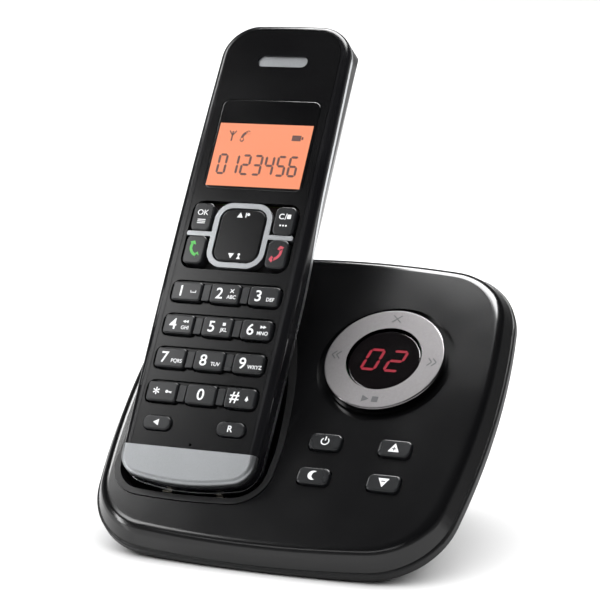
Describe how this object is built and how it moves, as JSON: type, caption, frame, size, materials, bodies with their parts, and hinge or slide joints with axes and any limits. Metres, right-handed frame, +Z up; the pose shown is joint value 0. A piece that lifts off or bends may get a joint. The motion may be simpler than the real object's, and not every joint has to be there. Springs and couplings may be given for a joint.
{
  "type": "cordless telephone with base",
  "caption": "Slim cordless handset standing in the cradle of a square, wedge-shaped answering base with a round control ring, a lit number window and small push buttons.",
  "frame": {"origin": "on the table, below the middle of the whole set's bounding box", "axes": "+Z up, -Y out of the front, where the keypad faces, +X to the right as seen from the front"},
  "size_m": [0.1268, 0.114, 0.1612],
  "materials": {
    "base_black": "satin gloss moulded ABS",
    "base_dark": "fine matte moulded ABS",
    "handset_charcoal": "satin moulded ABS",
    "panel_black": "gloss black panel",
    "silver_paint": "silver metallic paint on ABS",
    "key_charcoal": "satin keycaps",
    "clear_lens": "clear polished window",
    "smoked_window": "smoked polished window",
    "lcd_orange": "backlit orange display",
    "inner_dark": "dark moulded plastic",
    "circuit_green": "green solder resist",
    "silicone_grey": "silicone rubber",
    "foot_rubber": "soft black rubber",
    "screw_steel": "zinc plated steel",
    "contact_metal": "nickel plated spring metal",
    "cell_jacket": "plain wrapped cell jacket"
  },
  "bodies": {
    "base": {"base_top_cover": "base_black", "base_bottom_cover": "base_dark", "cradle_well": "base_dark", "led_window": "smoked_window", "led_module": "inner_dark", "base_button_mat": "silicone_grey", "base_circuit_board": "circuit_green", "base_speaker": "inner_dark", "line_jack": "inner_dark", "power_jack": "inner_dark", "base_charge_contacts": "contact_metal", "base_feet": "foot_rubber", "base_screws": "screw_steel"},
    "handset": {"handset_front_shell": "handset_charcoal", "trim_band": "silver_paint", "handset_rear_shell": "handset_charcoal", "battery_door": "handset_charcoal", "handset_faceplate": "panel_black", "chin_cover": "silver_paint", "earpiece_grille": "silver_paint", "display_lens": "clear_lens", "lcd_module": "lcd_orange", "nav_frame": "silver_paint", "keypad_mat": "silicone_grey", "handset_circuit_board": "circuit_green", "earpiece_speaker": "inner_dark", "microphone": "inner_dark", "battery_cells": "cell_jacket", "battery_contacts": "screw_steel", "handset_screws": "screw_steel", "handset_charge_contacts": "contact_metal"},
    "key_1": {"key_1": "key_charcoal"},
    "key_2": {"key_2": "key_charcoal"},
    "key_3": {"key_3": "key_charcoal"},
    "key_4": {"key_4": "key_charcoal"},
    "key_5": {"key_5": "key_charcoal"},
    "key_6": {"key_6": "key_charcoal"},
    "key_7": {"key_7": "key_charcoal"},
    "key_8": {"key_8": "key_charcoal"},
    "key_9": {"key_9": "key_charcoal"},
    "key_star": {"key_star": "key_charcoal"},
    "key_0": {"key_0": "key_charcoal"},
    "key_hash": {"key_hash": "key_charcoal"},
    "key_speaker": {"key_speaker": "key_charcoal"},
    "key_recall": {"key_recall": "key_charcoal"},
    "key_menu": {"key_menu": "key_charcoal"},
    "key_clear": {"key_clear": "key_charcoal"},
    "key_call": {"key_call": "key_charcoal"},
    "key_end": {"key_end": "key_charcoal"},
    "nav_pad": {"nav_pad": "panel_black"},
    "ring_carrier": {"ring_carrier": "inner_dark"},
    "control_ring": {"control_ring": "silver_paint"},
    "button_power": {"button_power": "key_charcoal"},
    "button_up": {"button_up": "key_charcoal"},
    "button_night": {"button_night": "key_charcoal"},
    "button_down": {"button_down": "key_charcoal"}
  },
  "joints": [
    {"name": "handset_lift", "type": "slide", "parent": "base", "child": "handset", "axis": [0, 0.5335, 0.8458], "range_m": [0, 0.13]},
    {"name": "key_1_press", "type": "slide", "parent": "handset", "child": "key_1", "axis": [0, 0.8458, -0.5335], "range_m": [0, 0.0006], "stiffness_N_per_m": 400, "springref_m": -0.0003},
    {"name": "key_2_press", "type": "slide", "parent": "handset", "child": "key_2", "axis": [0, 0.8458, -0.5335], "range_m": [0, 0.0006], "stiffness_N_per_m": 400, "springref_m": -0.0003},
    {"name": "key_3_press", "type": "slide", "parent": "handset", "child": "key_3", "axis": [0, 0.8458, -0.5335], "range_m": [0, 0.0006], "stiffness_N_per_m": 400, "springref_m": -0.0003},
    {"name": "key_4_press", "type": "slide", "parent": "handset", "child": "key_4", "axis": [0, 0.8458, -0.5335], "range_m": [0, 0.0006], "stiffness_N_per_m": 400, "springref_m": -0.0003},
    {"name": "key_5_press", "type": "slide", "parent": "handset", "child": "key_5", "axis": [0, 0.8458, -0.5335], "range_m": [0, 0.0006], "stiffness_N_per_m": 400, "springref_m": -0.0003},
    {"name": "key_6_press", "type": "slide", "parent": "handset", "child": "key_6", "axis": [0, 0.8458, -0.5335], "range_m": [0, 0.0006], "stiffness_N_per_m": 400, "springref_m": -0.0003},
    {"name": "key_7_press", "type": "slide", "parent": "handset", "child": "key_7", "axis": [0, 0.8458, -0.5335], "range_m": [0, 0.0006], "stiffness_N_per_m": 400, "springref_m": -0.0003},
    {"name": "key_8_press", "type": "slide", "parent": "handset", "child": "key_8", "axis": [0, 0.8458, -0.5335], "range_m": [0, 0.0006], "stiffness_N_per_m": 400, "springref_m": -0.0003},
    {"name": "key_9_press", "type": "slide", "parent": "handset", "child": "key_9", "axis": [0, 0.8458, -0.5335], "range_m": [0, 0.0006], "stiffness_N_per_m": 400, "springref_m": -0.0003},
    {"name": "key_star_press", "type": "slide", "parent": "handset", "child": "key_star", "axis": [0, 0.8458, -0.5335], "range_m": [0, 0.0006], "stiffness_N_per_m": 400, "springref_m": -0.0003},
    {"name": "key_0_press", "type": "slide", "parent": "handset", "child": "key_0", "axis": [0, 0.8458, -0.5335], "range_m": [0, 0.0006], "stiffness_N_per_m": 400, "springref_m": -0.0003},
    {"name": "key_hash_press", "type": "slide", "parent": "handset", "child": "key_hash", "axis": [0, 0.8458, -0.5335], "range_m": [0, 0.0006], "stiffness_N_per_m": 400, "springref_m": -0.0003},
    {"name": "key_speaker_press", "type": "slide", "parent": "handset", "child": "key_speaker", "axis": [0, 0.8458, -0.5335], "range_m": [0, 0.0006], "stiffness_N_per_m": 400, "springref_m": -0.0003},
    {"name": "key_recall_press", "type": "slide", "parent": "handset", "child": "key_recall", "axis": [0, 0.8458, -0.5335], "range_m": [0, 0.0006], "stiffness_N_per_m": 400, "springref_m": -0.0003},
    {"name": "key_menu_press", "type": "slide", "parent": "handset", "child": "key_menu", "axis": [0, 0.8458, -0.5335], "range_m": [0, 0.0006], "stiffness_N_per_m": 400, "springref_m": -0.0003},
    {"name": "key_clear_press", "type": "slide", "parent": "handset", "child": "key_clear", "axis": [0, 0.8458, -0.5335], "range_m": [0, 0.0006], "stiffness_N_per_m": 400, "springref_m": -0.0003},
    {"name": "key_call_press", "type": "slide", "parent": "handset", "child": "key_call", "axis": [0, 0.8458, -0.5335], "range_m": [0, 0.0006], "stiffness_N_per_m": 400, "springref_m": -0.0003},
    {"name": "key_end_press", "type": "slide", "parent": "handset", "child": "key_end", "axis": [0, 0.8458, -0.5335], "range_m": [0, 0.0006], "stiffness_N_per_m": 400, "springref_m": -0.0003},
    {"name": "nav_pad_rock", "type": "hinge", "parent": "handset", "child": "nav_pad", "pos_m": [-0.0268, -0.00078, 0.09479], "axis": [1, 0, 0], "range_deg": [-2, 2], "stiffness_Nm_per_rad": 0.3},
    {"name": "button_power_press", "type": "slide", "parent": "base", "child": "button_power", "axis": [0, 0.6616, -0.7499], "range_m": [0, 0.0006], "stiffness_N_per_m": 400, "springref_m": -0.0003},
    {"name": "button_up_press", "type": "slide", "parent": "base", "child": "button_up", "axis": [0, 0.6616, -0.7499], "range_m": [0, 0.0006], "stiffness_N_per_m": 400, "springref_m": -0.0003},
    {"name": "button_night_press", "type": "slide", "parent": "base", "child": "button_night", "axis": [0, 0.6616, -0.7499], "range_m": [0, 0.0006], "stiffness_N_per_m": 400, "springref_m": -0.0003},
    {"name": "button_down_press", "type": "slide", "parent": "base", "child": "button_down", "axis": [0, 0.6616, -0.7499], "range_m": [0, 0.0006], "stiffness_N_per_m": 400, "springref_m": -0.0003},
    {"name": "ring_side_rock", "type": "hinge", "parent": "base", "child": "ring_carrier", "pos_m": [0.0242, -0.0024, 0.05742], "axis": [0, 0.7499, 0.6616], "range_deg": [-1, 1], "stiffness_Nm_per_rad": 0.5},
    {"name": "ring_rock", "type": "hinge", "parent": "ring_carrier", "child": "control_ring", "pos_m": [0.0242, -0.0024, 0.05742], "axis": [1, 0, 0], "range_deg": [-1, 1], "stiffness_Nm_per_rad": 0.5}
  ]
}
